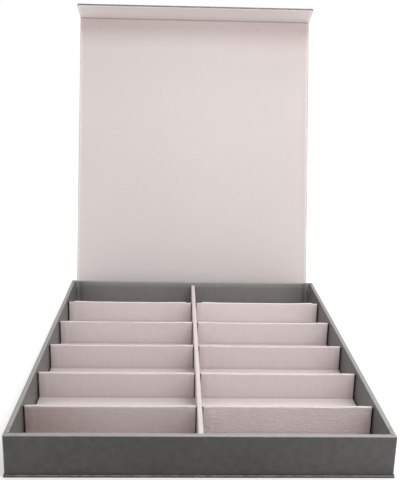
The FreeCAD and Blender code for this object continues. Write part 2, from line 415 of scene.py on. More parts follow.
def studio_paper(name):
    """The pale seamless floor, lit a little from under, least in front of the box at the right."""
    finish = Finish(name)
    shade = finish.cloud(0.4)
    distance = finish.node("VectorMath", {"operation": "DISTANCE"}, {
        0: finish.place, 1: floor_dim_place}).outputs["Value"]
    far = finish.between(distance, floor_dim_reach, floor_glow_reach)
    finish.set(
        Base_Color=finish.mixed(shade, tone(220, 220, 220), tone(224, 224, 224)),
        Roughness=0.75 + (shade - 0.5) * 0.05,
        Specular_IOR_Level=0.1,
        Emission_Color=finish.mixed(far, tone(150, 150, 150), tone(212, 212, 212)),
        Emission_Strength=0.8,
    )
    return finish.material


# Each set: dark and light mottling tones, a pale tone for worn edges and painted light, and a dark
# tone for painted shade.
grey_tones = (tone(44, 43, 41), tone(72, 71, 69), tone(150, 149, 145), tone(24, 23, 22))
pink_tones = (tone(193, 181, 180), tone(205, 194, 193), tone(230, 222, 221), tone(146, 118, 114))
cover_tones = (tone(191, 182, 180), tone(203, 194, 192), tone(229, 222, 220), tone(146, 118, 114))
grey_leatherette = leatherette(
    "grey_leatherette", grey_tones, grain=0.9 * MM, depth=0.08 * MM, ripple=0.14 * MM,
    patch=8 * MM, mottle=1.15, roughness=0.5, scuffing=0.35)
tray_lining = leatherette(
    "pink_tray_lining", pink_tones, grain=1.3 * MM, depth=0.1 * MM, ripple=0.12 * MM,
    patch=3.5 * MM, mottle=1.0, roughness=0.55, scuffing=0.3)
cover_lining = leatherette(
    "pink_cover_lining", cover_tones, grain=1.3 * MM, depth=0.06 * MM, ripple=0.06 * MM,
    patch=3.5 * MM, mottle=0.35, roughness=0.55, scuffing=0.3)
# Near-black finish for the painted shadow in the partitions' end slots
painted_shadow_finish = painted_shadow_cloth("painted_shadow_black")
board_finish = greyboard("pressed_greyboard")
foam_finish = soft_foam("open_celled_foam")
magnet_finish = plated_steel("nickel_plated_steel")


def add_block(mesh, lowest, highest):
    """Adds a plain block between two corners to a mesh."""
    verts = bmesh.ops.create_cube(mesh, size=1.0)["verts"]
    bmesh.ops.scale(mesh, vec=highest - lowest, verts=verts)
    bmesh.ops.translate(mesh, vec=(lowest + highest) / 2, verts=verts)


def block(lowest, highest):
    """A plain block between two corners, ready to be shaped."""
    mesh = bmesh.new()
    add_block(mesh, lowest, highest)
    return mesh


def flat_sheet(lowest, highest, height, step):
    """A flat sheet facing up, ruled into squares of about that step."""
    mesh = bmesh.new()
    across = max(1, round((highest.x - lowest.x) / step))
    along = max(1, round((highest.y - lowest.y) / step))
    bmesh.ops.create_grid(mesh, x_segments=across, y_segments=along, size=0.5)
    bmesh.ops.scale(mesh, vec=(highest.x - lowest.x, highest.y - lowest.y, 1.0), verts=mesh.verts)
    middle = (lowest + highest) / 2
    bmesh.ops.translate(mesh, vec=(middle.x, middle.y, height), verts=mesh.verts)
    return mesh


def rule(mesh, axis, places):
    """Rules lines across a mesh at places along an axis."""
    across = Vector([float(i == axis) for i in range(3)])
    for place in places:
        geometry = mesh.verts[:] + mesh.edges[:] + mesh.faces[:]
        bmesh.ops.bisect_plane(mesh, geom=geometry, dist=1e-7,
                               plane_co=across * place, plane_no=across)


def steps(start, end, step, margin=0.0):
    """Even places between two ends, about a step apart, with one just inside each end."""
    count = max(1, round((end - start) / step))
    places = [start + (end - start) * i / count for i in range(1, count)]
    if margin:
        places = [start + margin] + places + [end - margin]
    return places


def edges_where(mesh, test):
    """The edges whose two ends both pass a test of their place."""
    return [e for e in mesh.edges if test(e.verts[0].co) and test(e.verts[1].co)]


def round_off(mesh, edges, radius, segments):
    """Rounds edges to a radius."""
    bmesh.ops.bevel(mesh, geom=edges, offset=radius, offset_type="OFFSET", segments=segments,
                    profile=0.5, affect="EDGES", clamp_overlap=True, material=-1)


def near(value, target):
    """True if two lengths are the same to a hundredth of a millimetre."""
    return abs(value - target) < 1e-5


def shift(mesh, move):
    """Moves every vertex by what a rule gives for its place and the way it faces."""
    mesh.normal_update()
    moves = [(vert, move(vert.co, vert.normal)) for vert in mesh.verts]
    for vert, change in moves:
        vert.co += change


def wander(amount, size, seed):
    """A rule that lets hand-glued leatherette stray a little from true."""
    start = Vector((seed, 1.7 * seed, -seed))
    return lambda co, normal: normal * (amount * noise.noise(co / size + start))


def bump(value, middle, width):
    """1 at the middle, falling softly to 0 at a width to either side."""
    share = min(1.0, abs(value - middle) / width)
    return 1 - share * share * (3 - 2 * share)


def ramp(value, start, end):
    """0 at the start, 1 at the end and a soft rise between."""
    share = min(1.0, max(0.0, (value - start) / (end - start)))
    return share * share * (3 - 2 * share)


def mark_edges(mesh):
    """Notes on every vertex how strongly the corner there is turned outwards."""
    layer = mesh.verts.layers.float.new("edge")
    for edge in mesh.edges:
        if len(edge.link_faces) == 2:
            angle = edge.calc_face_angle_signed(0.0)
            for vert in edge.verts:
                vert[layer] = max(vert[layer], min(1.0, max(0.0, angle) / worn_edge_angle))


def note(mesh, name, amount):
    """Notes an amount on every vertex, by a rule of its place."""
    layer = mesh.verts.layers.float.new(name)
    for vert in mesh.verts:
        vert[layer] = amount(vert.co)


def set_out(name, data):
    """Puts a named object with that data into the scene."""
    made = bpy.data.objects.new(name, data)
    bpy.context.scene.collection.objects.link(made)
    return made


def piece(name, mesh, finish, stands_for=()):
    """Makes a finished mesh into a named piece of the box."""
    mesh.normal_update()
    mark_edges(mesh)
    data = bpy.data.meshes.new(name)
    mesh.to_mesh(data)
    mesh.free()
    data.shade_smooth()
    data.set_sharp_from_angle(angle=smooth_angle)
    data.materials.append(finish)
    made = set_out(name, data)
    if stands_for:
        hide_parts(*stands_for)
    return made


def box_along(node, place):
    """A node's lowest and highest corners, measured along a panel's own directions."""
    made = frame["nodes"][node]
    back = place.inverted() @ made.matrix_world
    corners = [back @ vert.co for vert in made.data.vertices]
    return tuple(Vector([pick(c[i] for c in corners) for i in range(3)]) for pick in (min, max))


# The tray: leatherette over four walls

def wrap_tray():
    """The tray's wrapping: up the outside, over the rounded rim and down the inside."""
    lowest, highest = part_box("tray_wrap")
    board_low, board_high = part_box("tray_left_board")
    wall = board_high.x - board_low.x + 2 * (board_low.x - lowest.x)
    floor_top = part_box("tray_floor_board")[1].z
    mesh = block(lowest, highest)
    mesh.normal_update()
    bottom = [f for f in mesh.faces if f.normal.z < -0.5]
    bmesh.ops.delete(mesh, geom=bottom, context="FACES_ONLY")
    top = [f for f in mesh.faces if f.normal.z > 0.5]
    bmesh.ops.inset_region(mesh, faces=top, thickness=wall, use_even_offset=True)
    well = bmesh.ops.extrude_discrete_faces(mesh, faces=top)["faces"]
    bmesh.ops.translate(mesh, vec=(0, 0, floor_top - highest.z), verts=well[0].verts)
    bmesh.ops.delete(mesh, geom=well, context="FACES_ONLY")

    def outside(co):
        return near(abs(co.x), highest.x) and near(abs(co.y), highest.y)

    def inside(co):
        return near(abs(co.x), highest.x - wall) and near(abs(co.y), highest.y - wall)

    def corner_edges(test, foot):
        return [e for e in edges_where(mesh, test)
                if not near(max(v.co.z for v in e.verts), foot)]

    round_off(mesh, corner_edges(outside, lowest.z), rim_outer_radius, segments=4)
    round_off(mesh, corner_edges(inside, floor_top), rim_inner_radius, segments=3)
    press_mitres(mesh, highest.z)
    for axis in (0, 1):
        start, end = lowest[axis], highest[axis]
        first = wall + rim_outer_radius
        corners = [first + corner_line_step * i for i in range(corner_line_count)]
        rule(mesh, axis, steps(start, end, tray_line_step)
             + [start + c for c in corners] + [end - c for c in corners])
    rule(mesh, 2, steps(lowest.z, highest.z, line_step, tray_first_line))

    def is_inside(co):
        return min(highest.x - abs(co.x), highest.y - abs(co.y)) > wall / 2

    def on_back(co):
        return is_inside(co) and highest.y - co.y < 1.5 * wall

    def on_front(co):
        return near(co.y, lowest.y)

    def from_corner(co):
        return abs((highest.x - abs(co.x)) - (highest.y - abs(co.y)))

    # Painted light: a painted highlight over the rim, the inner walls paler as painted bounce
    # light, a paler band under the back rim and the front wall a little paler towards its right
    # end.
    def pale_and_painted_light(co):
        over_rim = ramp(co.z, highest.z - rim_outer_radius - 0.1 * MM,
                        highest.z - 0.3 * rim_outer_radius)
        pale = inside_painted_light if is_inside(co) else 0.0
        if on_back(co):
            pale += back_top_painted_light * ramp(co.z, highest.z - back_top_reach,
                                             highest.z - rim_inner_radius)
        if on_front(co):
            pale = front_right_painted_light * ramp(co.x, 0.3 * highest.x, highest.x)
        return max(rim_painted_highlight * over_rim, pale)

    # Painted shade: darker at the foot inside and out, across the front wall except at its right
    # end, along the inner corners and in the back corners.
    def painted_shade(co):
        foot = floor_top if is_inside(co) else lowest.z
        painted_dark = tray_foot_painted_shade * (1 - ramp(co.z, foot, lowest.z + tray_foot_reach))
        if on_front(co):
            front_shade = bump(co.x, 0, 0.6 * highest.x) + 1 - ramp(co.x, 0, highest.x)
            return max(painted_dark, front_painted_shade * front_shade)
        if not is_inside(co):
            return painted_dark
        folds = (bump(from_corner(co), 0, corner_fold_width)
                 + 0.6 * bump(from_corner(co), corner_reach, 2 * corner_fold_width))
        corner = corner_fold_painted_shade * folds
        if on_back(co):
            corner += back_corner_painted_shade * (1 - ramp(from_corner(co), corner_reach,
                                                   back_corner_reach))
        return max(painted_dark, corner)

    def bridged(co, normal):
        """Where the leatherette crosses an inner corner loosely instead of filling it."""
        uneven = noise.noise(Vector((co.z / (15 * MM), co.x, co.y)))
        reach = corner_reach * (1 + 0.35 * uneven)
        sides = (highest.x - wall - abs(co.x), highest.y - wall - abs(co.y))
        away = max(sides)
        if not is_inside(co) or away > reach:
            return Vector((0, 0, 0))
        turn = math.radians(45) * (1 - away / reach)
        along = reach - reach * math.sin(turn) - away
        off = reach - reach * math.cos(turn)
        moves = (along, off) if sides[0] > sides[1] else (off, along)
        low = 1 - ramp(co.z, highest.z - corner_top_reach, highest.z - 2 * MM)
        return Vector((-math.copysign(moves[0], co.x), -math.copysign(moves[1], co.y), 0)) * low

    note(mesh, "pale_and_painted_light", pale_and_painted_light)
    note(mesh, "painted_shade", painted_shade)
    shift(mesh, bridged)
    shift(mesh, wander(amount=0.16 * MM, size=70 * MM, seed=3.0))
    shift(mesh, wander(amount=0.06 * MM, size=18 * MM, seed=8.0))
    made = piece("tray_wrapping", mesh, grey_leatherette, ["tray_wrap"])
    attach(made, "tray")


def press_mitres(mesh, top):
    """Presses a fine groove along the cut in the wrapping at each corner of the rim."""
    def on_top(co):
        return near(co.z, top)

    slanted = [e for e in edges_where(mesh, on_top)
               if abs(e.verts[0].co.x - e.verts[1].co.x) > 1 * MM
               and abs(e.verts[0].co.y - e.verts[1].co.y) > 1 * MM]
    middles = [(e.verts[0].co.copy(), e.verts[1].co.copy()) for e in slanted]
    round_off(mesh, slanted, mitre_width / 2, segments=2)
    for vert in mesh.verts:
        for start, end in middles:
            along = end - start
            share = (vert.co - start).dot(along) / along.length_squared
            off_line = (start + along * share - vert.co).length
            if 0.02 < share < 0.98 and off_line < 0.02 * MM:
                vert.co.z -= mitre_depth


def overlap_tray():
    """The strip at the back where the tray's wrapping laps over its own start."""
    lowest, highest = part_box("tray_wrap")
    start = Vector((lowest.x + overlap_from_side, highest.y - overlap_sunk,
                    lowest.z + overlap_from_foot))
    end = Vector((start.x + overlap_width, highest.y + overlap_lift,
                  highest.z - overlap_below_rim))
    mesh = block(start, end)
    rim = edges_where(mesh, lambda co: near(co.y, end.y))
    round_off(mesh, rim, 0.9 * overlap_lift, segments=2)
    rule(mesh, 0, steps(start.x, end.x, line_step, overlap_first_line))
    rule(mesh, 2, steps(start.z, end.z, line_step, overlap_first_line))
    shift(mesh, lambda co, normal: Vector((0.25 * MM * noise.noise(co / (9 * MM)), 0, 0)))
    made = piece("tray_wrapping_overlap", mesh, grey_leatherette)
    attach(made, "tray")


# The padded floor under the partitions

def floor_cells():
    """The open floors between the partitions, as the two ends across and the two along."""
    lowest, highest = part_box("floor_lining")
    divider_low, divider_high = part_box("divider_wrap")
    cells = []
    columns = (("left", (lowest.x, divider_low.x)), ("right", (divider_high.x, highest.x)))
    for column, sides in columns:
        rows = sorted(tuple(corner.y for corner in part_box(name)) for name in frame["nodes"]
                      if name.startswith("partition_wrap_" + column))
        starts = [lowest.y] + [row[1] for row in rows]
        ends = [row[0] for row in rows] + [highest.y]
        cells += [(sides, pair) for pair in zip(starts, ends)]
    return cells


def crown(place, cells):
    """How far the padding stands up, full in the middle of a cell and flat at its edges."""
    for (left, right), (front, back) in cells:
        if left < place.x < right and front < place.y < back:
            across = math.sin(math.pi * (place.x - left) / (right - left))
            along = math.sin(math.pi * (place.y - front) / (back - front))
            return (across * along) ** 0.4
    return 0.0


def pad_floor(name, node, height, finish):
    """One layer of the padded floor, plump between the partitions and held down under them."""
    lowest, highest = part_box(node)
    cells = floor_cells()
    mesh = block(lowest, highest)
    radius = min(pad_edge_radius, 0.6 * (highest.z - lowest.z))

    def upper(co):
        return near(co.z, highest.z)

    round_off(mesh, edges_where(mesh, upper), radius, segments=4)
    rule(mesh, 0, steps(lowest.x, highest.x, pad_line_step, 1.5 * radius))
    rule(mesh, 1, sorted(steps(lowest.y, highest.y, pad_line_step, 1.5 * radius)
                         + [edge for cell in cells[:6] for edge in cell[1]][1:-1]))
    middle = (lowest.z + highest.z) / 2

    def plump(co, normal):
        if co.z < middle:
            return Vector((0, 0, 0))
        rise = height * crown(co, cells)
        creases = 0.12 * MM * noise.noise(co / (11 * MM))
        creases += 0.2 * MM * noise.noise(co / (45 * MM))
        return Vector((0, 0, rise + creases * crown(co, cells)))

    # Painted light: the whole pad paler by the share above.
    note(mesh, "pale_and_painted_light", lambda co: floor_painted_light)
    shift(mesh, plump)
    made = piece(name, mesh, finish, [node])
    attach(made, "tray")


# The divider and the partitions, boards in folded leatherette

def stand_up(node, radius, step, face_painted_shade=0.0, pale=0.0, creased=0.1):
    """A standing wrap, its top and ends rounded and ruled for shaping, darker by painted shade at
    its foot, its ends and across its face, and paler by painted light as given.
    """
    lowest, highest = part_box(node)
    mesh = block(lowest, highest)

    def upper(co):
        return near(co.z, highest.z)

    uprights = [e for e in mesh.edges if abs(e.verts[0].co.z - e.verts[1].co.z) > 1 * MM]
    round_off(mesh, edges_where(mesh, upper) + uprights, radius, segments=4)
    size = highest - lowest
    axis = 0 if size.x > size.y else 1
    start, end = lowest[axis], highest[axis]
    width = highest.x - lowest.x

    # Painted shade: darker at the foot, at the ends and across the face towards its wall end.
    def painted_shade(co):
        foot = wrap_foot_painted_shade * (1 - ramp(co.z, lowest.z, lowest.z + wrap_foot_reach))
        ends = wrap_end_painted_shade * (1 - ramp(min(co[axis] - start, end - co[axis]), 0, wrap_end_reach))
        face = face_painted_shade * (0.7 + 1.6 * ramp(abs(co.x), width / 2, width))
        return max(foot, ends, face * (1 - ramp(co.z, highest.z - 2 * MM, highest.z - 0.5 * MM)))

    left_turn, right_turn = start + turned_end_width, end - turned_end_width
    folds = [left_turn, left_turn + turned_end_step, right_turn - turned_end_step, right_turn]
    margin = 1.4 * radius
    rule(mesh, axis, sorted(steps(start, end, step, margin) + folds))
    rule(mesh, 2, sorted(steps(lowest.z, highest.z, line_step, margin) + [lowest.z + 0.6 * MM]))
    note(mesh, "painted_shade", painted_shade)
    # Painted light: paler by the share given.
    note(mesh, "pale_and_painted_light", lambda co: pale)
    note(mesh, "creased", lambda co: creased)
    return mesh, lowest, highest, axis


def turned_ends(co, lowest, highest, axis):
    """How far the face stands out over the wrap's ends, which are turned in under it."""
    from_end = min(co[axis] - lowest[axis], highest[axis] - co[axis])
    inner_edge = turned_end_width + turned_end_step
    return turned_end_lift * (1 - ramp(from_end, turned_end_width, inner_edge))


def facing(normal, across):
    """How squarely a face looks out across a wrap, from -1 to 1 and full from halfway."""
    return math.copysign(min(1.0, abs(normal[across]) * 2), normal[across])


def stand_divider():
    """The divider down the middle, its top a little wavy from the hand that folded it."""
    mesh, lowest, highest, axis = stand_up("divider_wrap", divider_radius, divider_line_step)
    across = 1 - axis

    def shape(co, normal):
        height = ramp(co.z, lowest.z, highest.z)
        flare = divider_foot_flare * bump(co.z, lowest.z, 1.4 * MM)
        sway = 0.25 * MM * noise.noise(Vector((co[axis] / (80 * MM), 9.0, 0)))
        wave = 0.22 * MM * noise.noise(Vector((co[axis] / (34 * MM), 4.0, 0)))
        change = Vector((0, 0, wave * height))
        out = turned_ends(co, lowest, highest, axis) + flare
        change[across] = facing(normal, across) * out + sway * height
        return change

    shift(mesh, shape)
    shift(mesh, wander(amount=0.07 * MM, size=14 * MM, seed=5.0))
    made = piece("divider_wrapping", mesh, tray_lining, ["divider_wrap"])
    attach(made, "tray")


def stand_partition(column, row, seed):
    """A cross partition, bowed a little, its top low in the middle and lifted at its ends."""
    name = column + "_" + str(row)
    mesh, lowest, highest, axis = stand_up(
        "partition_wrap_" + name, partition_radius, partition_line_step,
        face_painted_shade=partition_painted_shade * row_painted_shade[row - 1] * column_painted_shade[column],
        pale=partition_painted_light * row_painted_light[row - 1] * column_painted_light[column],
        creased=row_creases[row - 1] * column_creases[column])
    across = 1 - axis
    bow = partition_bow * noise.noise(Vector((seed * 3.1, 2.0, 0.5))) * 1.8
    lean = partition_lean * noise.noise(Vector((seed * 1.3, 7.0, 4.5))) * 1.8
    end_drop = partition_end_drop * row_drop[row - 1]

    def rise(place):
        return partition_end_rise * (0.35 + 0.65 * abs(noise.noise(Vector(place))) * 2)

    lift_left, lift_right = rise((seed, 11.0, 0.3)), rise((seed, 19.0, 0.7))

    def shape(co, normal):
        share = (co[axis] - lowest[axis]) / (highest[axis] - lowest[axis])
        height = ramp(co.z, lowest.z, highest.z)
        flare = partition_foot_flare * bump(co.z, lowest.z, 1.2 * MM)
        out = turned_ends(co, lowest, highest, axis) + flare
        ripple = Vector((co[axis] / (40 * MM), seed, co.z / (9 * MM)))
        swing = bow * math.sin(math.pi * share) + lean * (share - 0.5)
        swing += 0.12 * MM * noise.noise(ripple)
        ends = lift_left * bump(share, 0.05, 0.16) + lift_right * bump(share, 0.95, 0.16)
        from_end = min(co[axis] - lowest[axis], highest[axis] - co[axis])
        drop = end_drop * (1 - ramp(from_end, turned_end_width - 1.5 * MM,
                                    turned_end_width + turned_end_step))
        sag = partition_sag * math.sin(math.pi * share)
        wave = 0.1 * MM * noise.noise(Vector((co[axis] / (22 * MM), seed, 0)))
        change = Vector((0, 0, (ends - drop - sag + wave) * height ** 3))
        change[across] = facing(normal, across) * out + swing * height
        return change

    shift(mesh, shape)
    shift(mesh, wander(amount=0.08 * MM, size=13 * MM, seed=seed))
    made = piece("partition_wrapping_" + name, mesh, tray_lining,
                 ["partition_wrap_" + name])
    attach(made, "tray")


def tape_partition_ends(column):
    """Dark strips that fill the gaps at the ends of one column's partitions: painted shadow
    standing for the shade in those slots.
    """
    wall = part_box("floor_lining")[1].x + slot_shadow_from_wall
    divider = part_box("divider_wrap")[1].x
    mesh = bmesh.new()
    for row in row_numbers:
        lowest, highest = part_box("partition_wrap_" + column + "_" + str(row))
        inner, outer = sorted((abs(lowest.x), abs(highest.x)))
        side = math.copysign(1.0, lowest.x + highest.x)
        gaps = ((outer - slot_shadow_overlap, wall - slot_shadow_clearance),
                (divider + slot_shadow_clearance, inner + slot_shadow_overlap))
        for ends in gaps:
            left, right = sorted(side * end for end in ends)
            add_block(mesh,
                      Vector((left, lowest.y + slot_shadow_setback, lowest.z + slot_shadow_clearance)),
                      Vector((right, highest.y - slot_shadow_setback, highest.z - slot_shadow_drop)))
    round_off(mesh, mesh.edges[:], slot_shadow_radius, segments=2)
    rule(mesh, 2, steps(*(corner.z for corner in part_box("divider_wrap")), 3 * MM))
    shift(mesh, wander(amount=0.08 * MM, size=5 * MM, seed=6.0))
    made = piece("partition_end_slot_shadows_" + column, mesh, painted_shadow_finish)
    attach(made, "tray")


# The cover: a sheet turned up round the boards, with linings glued on and hinges left bare

def hinge(name):
    """What the box's record says of a hinge."""
    return next(j for j in frame["record"]["behaviour"]["joints"] if j["name"] == name)


def folded_at_rest(name):
    """The angle a hinge is folded by in the photograph's pose."""
    return math.radians(-hinge(name)["range_deg"][0])


def placed(pivot, angle):
    """A panel's own directions: along it from its hinge, and out of its inner face."""
    return Matrix.Translation(pivot) @ Matrix.Rotation(angle, 4, "X")


spine_pivot = Vector(hinge("spine_hinge")["pos_m"])
lid_pivot = Vector(hinge("lid_hinge")["pos_m"])
flap_pivot = Vector(hinge("flap_hinge")["pos_m"])
lid_fold = folded_at_rest("lid_hinge")
flap_fold = folded_at_rest("flap_hinge")
panel_places = {
    "spine": placed(spine_pivot, 0.0),
    "lid": placed(lid_pivot, lid_fold),
    "flap": placed(flap_pivot, lid_fold + flap_fold),
}
cover_low, cover_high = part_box("spine_cover")
skin_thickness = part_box("spine_board")[0].z - cover_low.z
lining_thickness = cover_high.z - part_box("spine_board")[1].z
outer_face = cover_low.z - spine_pivot.z
setback = cover_low.y - spine_pivot.y


def face_down(mesh):
    """Turns a sheet's faces so that its flat part faces down, out of the box."""
    bmesh.ops.recalc_face_normals(mesh, faces=mesh.faces)
    mesh.normal_update()
    widest = max(mesh.faces, key=lambda f: f.calc_area())
    if widest.normal.z > 0:
        bmesh.ops.reverse_faces(mesh, faces=mesh.faces)


def thicken(mesh, thickness):
    """Gives a sheet its thickness, behind the side that faces out."""
    bmesh.ops.solidify(mesh, geom=mesh.faces[:], thickness=thickness)


def extruded(mesh, edges):
    """Draws new faces out of edges and gives the vertices at their far side."""
    drawn = bmesh.ops.extrude_edge_only(mesh, edges=edges)["geom"]
    return [g for g in drawn if isinstance(g, bmesh.types.BMVert)]


def turn_edges(mesh, tests, move):
    """Turns the border edges that pass one of the tests up or down by a move."""
    edges = []
    for test in tests:
        edges += [e for e in edges_where(mesh, test) if e.is_boundary]
    bmesh.ops.translate(mesh, vec=move, verts=extruded(mesh, edges))


def round_folds(mesh, radius, segments):
    """Rounds the folds where a sheet turns."""
    mesh.normal_update()
    folds = [e for e in mesh.edges
             if len(e.link_faces) == 2 and e.calc_face_angle(0.0) > fold_angle]
    round_off(mesh, folds, radius, segments)


def cover_sheet(lowest, highest, free_ends, radius=cover_edge_radius):
    """A panel's skin, turned up round its sides and its free ends."""
    mesh = flat_sheet(lowest, highest, lowest.z, sheet_step)
    margin = radius + wear_reach
    for axis in (0, 1):
        rule(mesh, axis, [lowest[axis] + margin, highest[axis] - margin])
    borders = [lambda co: near(co.x, lowest.x), lambda co: near(co.x, highest.x)]
    borders += [lambda co, end=end: near(co.y, end) for end in free_ends]
    turn_edges(mesh, borders, (0, 0, highest.z - lowest.z))
    face_down(mesh)
    round_folds(mesh, radius, segments=4)
    return mesh


def cover_panel(body, free_end, seed):
    """One panel's skin in its place."""
    place = panel_places[body]
    lowest, highest = box_along(body + "_cover", place)
    mesh = cover_sheet(lowest, highest, [highest.y] if free_end else [])
    soften_skin(mesh, lowest, highest, free_end, seed)
    thicken(mesh, skin_thickness)
    start, end = lowest.z + 0.6 * MM, highest.z - 0.6 * MM
    # The skin paler up its turned-up sides.
    note(mesh, "pale_and_painted_light", lambda co: edge_paleness * ramp(co.z, start, end))
    mesh.transform(place)
    made = piece(body + "_covering", mesh, grey_leatherette,
                 [body + "_cover"])
    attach(made, body)


def soften_skin(mesh, lowest, highest, free_end, seed):
    """Lets the skin stray a little between the hinges and press in beside them."""
    def stray(co, normal):
        from_hinge = co.y - lowest.y
        if not free_end:
            from_hinge = min(from_hinge, highest.y - co.y)
        free = ramp(from_hinge, 0, skin_press_reach)
        amount = 0.1 * MM * noise.noise(co / (75 * MM) + Vector((seed, 0, 0)))
        amount += 0.04 * MM * noise.noise(co / (17 * MM) + Vector((0, seed, 0)))
        return normal * ((amount - skin_press) * free)

    shift(mesh, stray)


def cover_base():
    """The base's skin, turned up round its front and sides and in under the tray's walls."""
    lowest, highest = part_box("base_cover")
    tray_low, tray_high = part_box("tray_wrap")
    mesh = cover_sheet(lowest, highest, [lowest.y], base_edge_radius)

    def on_top(edge):
        return all(near(v.co.z, highest.z) for v in edge.verts)

    reach = Vector((highest.x, lowest.y, 0)) + Vector((-base_flange, base_flange, 0))
    for vert in extruded(mesh, [e for e in mesh.edges if e.is_boundary and on_top(e)]):
        vert.co.x = max(-reach.x, min(reach.x, vert.co.x))
        vert.co.y = max(reach.y, vert.co.y)
    bmesh.ops.remove_doubles(mesh, verts=mesh.verts, dist=0.01 * MM)
    face_down(mesh)
    top = [e for e in mesh.edges
           if len(e.link_faces) == 2 and on_top(e) and e.calc_face_angle(0.0) > fold_angle]
    round_off(mesh, top, base_top_radius, segments=2)
    rule(mesh, 0, [tray_low.x - base_bead_gap, tray_high.x + base_bead_gap])
    rule(mesh, 1, [tray_low.y - base_bead_gap])
    clear = 0.9 * base_bead_gap

    def stray(co, normal):
        outside = abs(co.x) > tray_high.x + clear or co.y < tray_low.y - clear
        bead = base_bead if outside and near(co.z, highest.z) else 0.0
        amount = 0.05 * MM * noise.noise(co / (90 * MM) + Vector((2.0, 3.4, -2.0)))
        return Vector((normal.x * amount, normal.y * amount, bead))

    # Painted highlight: the base skin's top edge paler, as its rounded edge would look in the
    # light.
    def pale_and_painted_light(co):
        return 0.4 * edge_paleness * ramp(co.z, highest.z - 0.9 * MM, highest.z - 0.4 * MM)

    # Painted shadow: the lower part of the base's skin darkened into a dark line along the floor.
    def painted_shade(co):
        return 1 - ramp(co.z, lowest.z + 1.6 * MM, lowest.z + 2.3 * MM)

    shift(mesh, stray)
    thicken(mesh, skin_thickness)
    note(mesh, "pale_and_painted_light", pale_and_painted_light)
    note(mesh, "painted_shade", painted_shade)
    made = piece("base_covering", mesh, grey_leatherette, ["base_cover"])
    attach(made, "tray")


def line_panel(body, free_end):
    """A panel's pink lining, turned down at the hinges, with the skin's edge showing through."""
    place = panel_places[body]
    lowest, highest = box_along(body + "_lining", place)
    mesh = flat_sheet(lowest, highest, highest.z, sheet_step)
    margin = lining_fold_radius + wear_reach
    border = turn_in_width + turn_in_slope
    rule(mesh, 1, [lowest.y + margin, highest.y - margin])
    rule(mesh, 0, [lowest.x + turn_in_width, lowest.x + border,
                   highest.x - border, highest.x - turn_in_width])
    if free_end:
        rule(mesh, 1, [highest.y - border, highest.y - turn_in_width])
    down = (0, 0, lowest.z - highest.z)
    turn_edges(mesh, [lambda co: near(co.y, lowest.y)], down)
    if not free_end:
        turn_edges(mesh, [lambda co: near(co.y, highest.y)], down)
    face_down(mesh)
    bmesh.ops.reverse_faces(mesh, faces=mesh.faces)
    round_folds(mesh, lining_fold_radius, segments=4)

    def from_edge(co):
        from_side = min(co.x - lowest.x, highest.x - co.x)
        return min(from_side, highest.y - co.y) if free_end else from_side

    def show_through(co, normal):
        sunk = -turn_in_lift * ramp(from_edge(co), turn_in_width, border)
        amount = 0.05 * MM * noise.noise(co / (90 * MM)) + 0.02 * MM * noise.noise(co / (15 * MM))
        return Vector((0, 0, (sunk + amount) * ramp(co.z, lowest.z, highest.z)))

    # Painted shade: darker at the lining's foot, in a band below the upper fold (under the flap on
    # the lid) and towards the lid's right side.
    def painted_shade(co):
        painted_dark = lining_foot_painted_shade * (1 - ramp(co.y - lowest.y, 0, 9 * MM))
        if not free_end:
            below = highest.y - co.y
            painted_dark += under_flap_painted_shade * (ramp(below, 0, 3.5 * MM)
                                       * (1 - ramp(below, 5 * MM, 50 * MM)))
        if body == "lid":
            painted_dark += lid_right_painted_shade * ramp(co.x, 0, highest.x)
        return painted_dark

    # Painted light: the flap's lining paler all over and the lid's lower part paler; the side
    # borders are paler too.
    def pale_and_painted_light(co):
        pale = flap_painted_light if free_end else 0.0
        pale += border_paleness * (1 - ramp(from_edge(co), 0.8 * turn_in_width, turn_in_width))
        if body == "lid":
            upper = ramp(co.y - lowest.y, 0.1 * highest.y, 0.5 * highest.y)
            pale += lid_foot_painted_light * (1 - upper)
        return pale

    note(mesh, "pale_and_painted_light", pale_and_painted_light)
    note(mesh, "painted_shade", painted_shade)
    shift(mesh, show_through)
    thicken(mesh, lining_thickness)
    mesh.transform(place)
    made = piece(body + "_lining_sheet", mesh, cover_lining,
                 [body + "_lining"])
    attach(made, body)


def bent(co, fold):
    """A point of a flat hinge strip, moved on to the strip's curve at rest."""
    if fold < 1e-6:
        return co
    reach = setback - hinge_lead
    radius = reach / math.tan(fold / 2)
    if co.y <= -reach:
        return co
    if co.y >= reach:
        return Vector((co.x, co.y * math.cos(fold) - co.z * math.sin(fold),
                       co.y * math.sin(fold) + co.z * math.cos(fold)))
    turn = fold * (co.y + reach) / (2 * reach)
    return Vector((co.x, -reach + (radius - co.z) * math.sin(turn),
                   radius - (radius - co.z) * math.cos(turn)))


def hinge_strip(name, node, place, fold, layer):
    """A strip of leatherette across a hinge, pressed in along its middle and bent to the hinge's
    fold at rest.
    """
    half_width, low, high, press, painted_dark, finish, slot = layer
    mesh = hinge_sheet(half_width, low)

    def pressed(co, normal):
        uneven = 0.05 * MM * noise.noise(co / (9 * MM)) * bump(co.y, 0, setback)
        return Vector((0, 0, press * bump(co.y, 0, 0.8 * setback) + uneven))

    shift(mesh, pressed)
    face_down(mesh)
    thicken(mesh, high - low)
    # Painted shade: the strip darker along the middle of its fold.
    note(mesh, "painted_shade", lambda co: painted_dark * bump(co.y, 0, 0.9 * setback))
    for vert in mesh.verts:
        vert.co = bent(vert.co, fold)
    mesh.transform(place)
    made = piece(name, mesh, finish, [node])
    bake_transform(made)


def hinge_sheet(half_width, height):
    """A flat strip across a hinge, ruled closely along the fold."""
    mesh = bmesh.new()
    bmesh.ops.create_grid(mesh, x_segments=31, y_segments=18, size=0.5)
    bmesh.ops.scale(mesh, vec=(2 * half_width, 2 * setback, 1.0), verts=mesh.verts)
    bmesh.ops.translate(mesh, vec=(0, 0, height), verts=mesh.verts)
    return mesh


